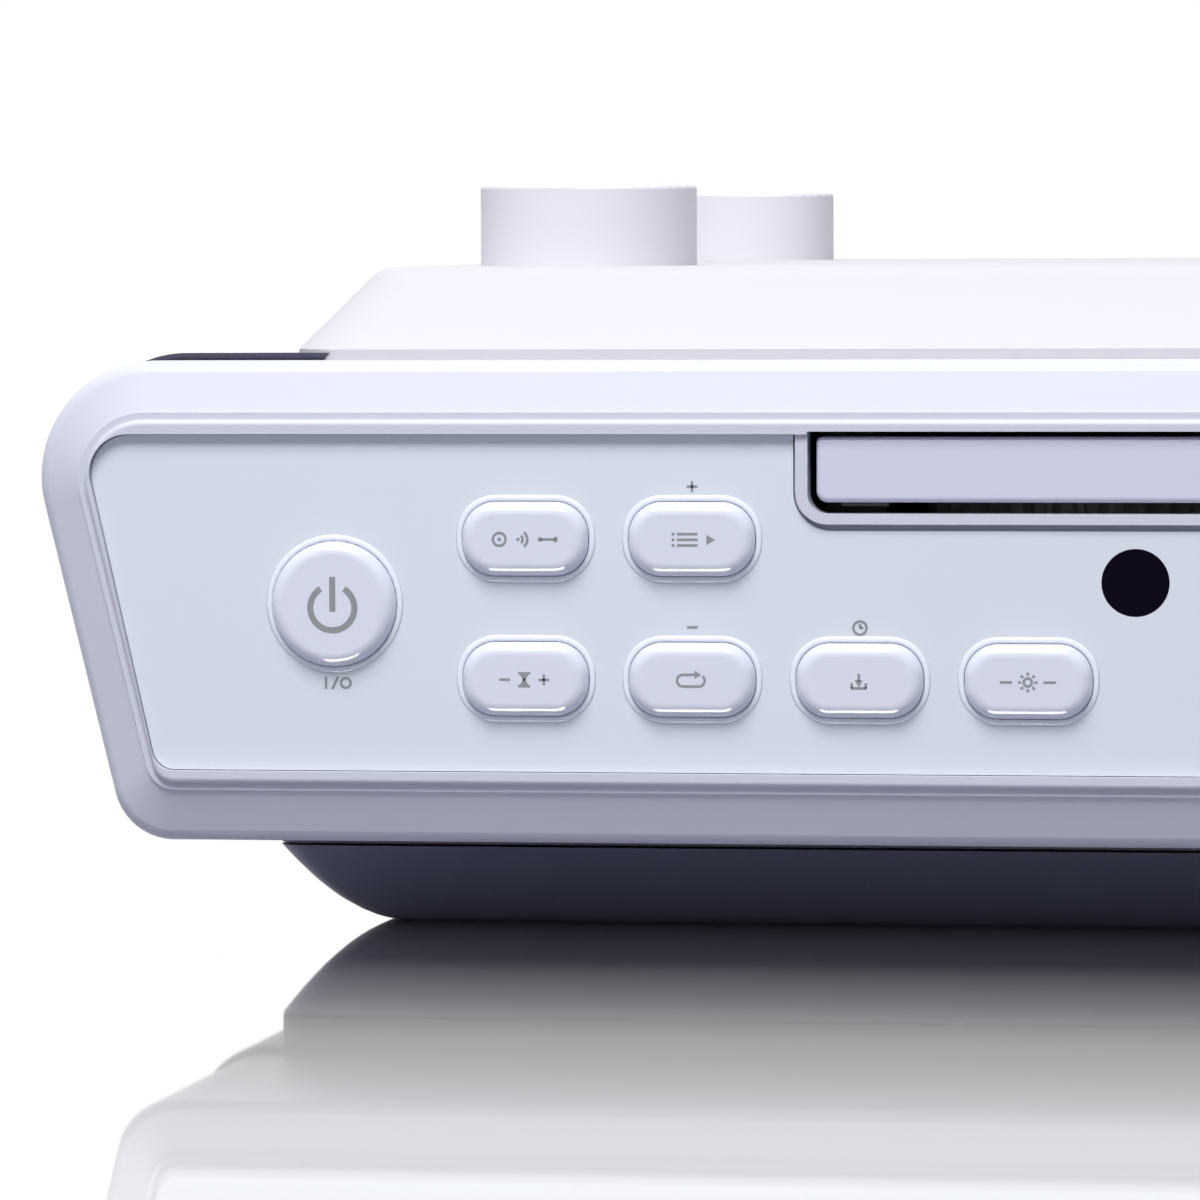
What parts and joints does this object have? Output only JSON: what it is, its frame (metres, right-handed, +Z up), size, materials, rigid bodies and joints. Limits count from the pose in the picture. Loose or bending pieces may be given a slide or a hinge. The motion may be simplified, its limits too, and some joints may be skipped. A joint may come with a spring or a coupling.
{
  "type": "under-cabinet cd clock radio",
  "caption": "Under-cabinet clock radio with a motorised front disc tray, a key panel with a display, a raised mounting platform with spacers and a rounded base.",
  "frame": {"origin": "centre of the object's footprint, on the surface that it stands on", "axes": "+X to the right seen from the front, +Y from the front to the back, +Z up"},
  "size_m": [0.305, 0.249, 0.0846],
  "materials": {
    "white_shell": "satin moulded ABS",
    "pale_panel": "fine satin, pale silver blue",
    "pearl_key": "pearl silver gloss",
    "dark_case": "fine grained moulding, blue grey",
    "smoked_window": "smoked clear, polished",
    "dark_window": "infrared-pass dark, polished",
    "brass_insert": "turned",
    "black_plastic": "as moulded",
    "tray_plastic": "fine satin",
    "gear_plastic": "as moulded",
    "belt_rubber": "ground",
    "steel": "bright zinc plated",
    "deck_plastic": "as moulded",
    "magnet_iron": "sintered",
    "cone_paper": "pressed paper",
    "board_green": "solder mask",
    "cell_wrap": "plain sleeve",
    "lens_glass": "coated"
  },
  "bodies": {
    "case": {"front_bezel": "white_shell", "control_panel": "pale_panel", "display_window": "smoked_window", "ir_window": "dark_window", "rear_cabinet": "dark_case", "top_cover": "white_shell", "threaded_inserts": "brass_insert", "mounting_spacers": "white_shell", "base": "dark_case", "backup_cells": "cell_wrap", "battery_contacts": "steel", "power_jack": "black_plastic", "aux_jack": "black_plastic", "speaker_frames": "black_plastic", "speaker_magnets": "magnet_iron", "speaker_cones": "cone_paper", "main_board": "board_green", "key_board": "board_green", "key_switches": "black_plastic", "display_module": "black_plastic", "ir_receiver": "black_plastic", "volume_encoder": "black_plastic", "loader_frame": "black_plastic", "loading_motor": "steel", "drive_belt": "belt_rubber", "clamp_bridge": "black_plastic", "case_screws": "steel", "loader_screws": "steel", "board_screws": "steel"},
    "source_key": {"source_key": "pearl_key"},
    "program_key": {"program_key": "pearl_key"},
    "timer_key": {"timer_key": "pearl_key"},
    "repeat_key": {"repeat_key": "pearl_key"},
    "memory_key": {"memory_key": "pearl_key"},
    "display_key": {"display_key": "pearl_key"},
    "tray_key": {"tray_key": "pearl_key"},
    "alarm_key": {"alarm_key": "pearl_key"},
    "back_key": {"back_key": "pearl_key"},
    "play_key": {"play_key": "pearl_key"},
    "forward_key": {"forward_key": "pearl_key"},
    "stop_key": {"stop_key": "pearl_key"},
    "power_button": {"power_button": "pearl_key"},
    "volume_dial": {"volume_dial": "pearl_key"},
    "battery_door": {"battery_door": "dark_case"},
    "tray": {"disc_tray": "tray_plastic", "tray_door": "white_shell"},
    "drive_gear": {"drive_gear": "gear_plastic"},
    "belt_wheel": {"belt_wheel": "gear_plastic"},
    "motor_pulley": {"motor_pulley": "gear_plastic"},
    "deck": {"pickup_deck": "deck_plastic", "guide_rods": "steel", "spindle_motor": "steel", "sled_motor": "steel"},
    "cam_slider": {"cam_slider": "gear_plastic"},
    "turntable": {"turntable": "black_plastic"},
    "disc_clamp": {"disc_clamp": "black_plastic"},
    "pickup_sled": {"pickup_sled": "black_plastic"},
    "pickup_lens": {"pickup_lens": "lens_glass"},
    "sled_gear": {"sled_gear": "gear_plastic"},
    "sled_motor_pinion": {"sled_motor_pinion": "gear_plastic"}
  },
  "joints": [
    {"name": "source_press", "type": "slide", "parent": "case", "child": "source_key", "axis": [0, 1, 0], "range_m": [0, 0.0005], "stiffness_N_per_m": 1000},
    {"name": "program_press", "type": "slide", "parent": "case", "child": "program_key", "axis": [0, 1, 0], "range_m": [0, 0.0005], "stiffness_N_per_m": 1000},
    {"name": "timer_press", "type": "slide", "parent": "case", "child": "timer_key", "axis": [0, 1, 0], "range_m": [0, 0.0005], "stiffness_N_per_m": 1000},
    {"name": "repeat_press", "type": "slide", "parent": "case", "child": "repeat_key", "axis": [0, 1, 0], "range_m": [0, 0.0005], "stiffness_N_per_m": 1000},
    {"name": "memory_press", "type": "slide", "parent": "case", "child": "memory_key", "axis": [0, 1, 0], "range_m": [0, 0.0005], "stiffness_N_per_m": 1000},
    {"name": "display_press", "type": "slide", "parent": "case", "child": "display_key", "axis": [0, 1, 0], "range_m": [0, 0.0005], "stiffness_N_per_m": 1000},
    {"name": "tray_press", "type": "slide", "parent": "case", "child": "tray_key", "axis": [0, 1, 0], "range_m": [0, 0.0005], "stiffness_N_per_m": 1000},
    {"name": "alarm_press", "type": "slide", "parent": "case", "child": "alarm_key", "axis": [0, 1, 0], "range_m": [0, 0.0005], "stiffness_N_per_m": 1000},
    {"name": "back_press", "type": "slide", "parent": "case", "child": "back_key", "axis": [0, 1, 0], "range_m": [0, 0.0005], "stiffness_N_per_m": 1000},
    {"name": "play_press", "type": "slide", "parent": "case", "child": "play_key", "axis": [0, 1, 0], "range_m": [0, 0.0005], "stiffness_N_per_m": 1000},
    {"name": "forward_press", "type": "slide", "parent": "case", "child": "forward_key", "axis": [0, 1, 0], "range_m": [0, 0.0005], "stiffness_N_per_m": 1000},
    {"name": "stop_press", "type": "slide", "parent": "case", "child": "stop_key", "axis": [0, 1, 0], "range_m": [0, 0.0005], "stiffness_N_per_m": 1000},
    {"name": "power_press", "type": "slide", "parent": "case", "child": "power_button", "axis": [0, 1, 0], "range_m": [0, 0.0005], "stiffness_N_per_m": 1000},
    {"name": "volume_turn", "type": "hinge", "parent": "case", "child": "volume_dial", "pos_m": [0.12, -0.1155, 0.0398], "axis": [0, 1, 0], "continuous": true},
    {"name": "battery_door_slide", "type": "slide", "parent": "case", "child": "battery_door", "axis": [0, 1, 0], "range_m": [0, 0.008]},
    {"name": "tray_slide", "type": "slide", "parent": "case", "child": "tray", "axis": [0, -1, 0], "range_m": [0, 0.135]},
    {"name": "drive_gear_spin", "type": "hinge", "parent": "case", "child": "drive_gear", "pos_m": [-0.043, -0.0855, 0.049], "axis": [0, 0, 1], "range_deg": [0, 516]},
    {"name": "belt_wheel_spin", "type": "hinge", "parent": "case", "child": "belt_wheel", "pos_m": [-0.022, -0.0855, 0.045], "axis": [0, 0, 1], "range_deg": [-1290, 0]},
    {"name": "motor_pulley_spin", "type": "hinge", "parent": "case", "child": "motor_pulley", "pos_m": [0.018, -0.0855, 0.043], "axis": [0, 0, 1], "range_deg": [-7197, 0]},
    {"name": "deck_tilt", "type": "hinge", "parent": "case", "child": "deck", "pos_m": [0, 0.0525, 0.044], "axis": [1, 0, 0], "range_deg": [0, 4.5]},
    {"name": "cam_slide", "type": "slide", "parent": "case", "child": "cam_slider", "axis": [1, 0, 0], "range_m": [0, 0.014]},
    {"name": "turntable_spin", "type": "hinge", "parent": "deck", "child": "turntable", "pos_m": [0, -0.0415, 0.0546], "axis": [0, 0, 1], "continuous": true},
    {"name": "clamp_spin", "type": "hinge", "parent": "case", "child": "disc_clamp", "pos_m": [0, -0.0415, 0.06], "axis": [0, 0, 1], "continuous": true},
    {"name": "sled_slide", "type": "slide", "parent": "deck", "child": "pickup_sled", "axis": [0, 1, 0], "range_m": [0, 0.034]},
    {"name": "sled_gear_spin", "type": "hinge", "parent": "deck", "child": "sled_gear", "pos_m": [0.029, 0.0105, 0.049], "axis": [0, 0, 1], "range_deg": [-406, 0]},
    {"name": "sled_motor_spin", "type": "hinge", "parent": "deck", "child": "sled_motor_pinion", "pos_m": [0.029, -0.0009, 0.051], "axis": [0, 0, 1], "range_deg": [0, 1137]},
    {"name": "lens_focus", "type": "slide", "parent": "pickup_sled", "child": "pickup_lens", "axis": [0, 0, 1], "range_m": [-0.0004, 0.0004], "stiffness_N_per_m": 20}
  ],
  "couplings": [
    {"joint": "drive_gear_spin", "follows": "tray_slide", "rad_per_m": 66.667},
    {"joint": "belt_wheel_spin", "follows": "tray_slide", "rad_per_m": -166.67},
    {"joint": "motor_pulley_spin", "follows": "tray_slide", "rad_per_m": -930.42},
    {"joint": "cam_slide", "follows": "deck_tilt", "m_per_rad": 0.17825},
    {"joint": "clamp_spin", "follows": "turntable_spin", "ratio": 1},
    {"joint": "sled_gear_spin", "follows": "sled_slide", "rad_per_m": -208.33},
    {"joint": "sled_motor_spin", "follows": "sled_slide", "rad_per_m": 583.33}
  ]
}
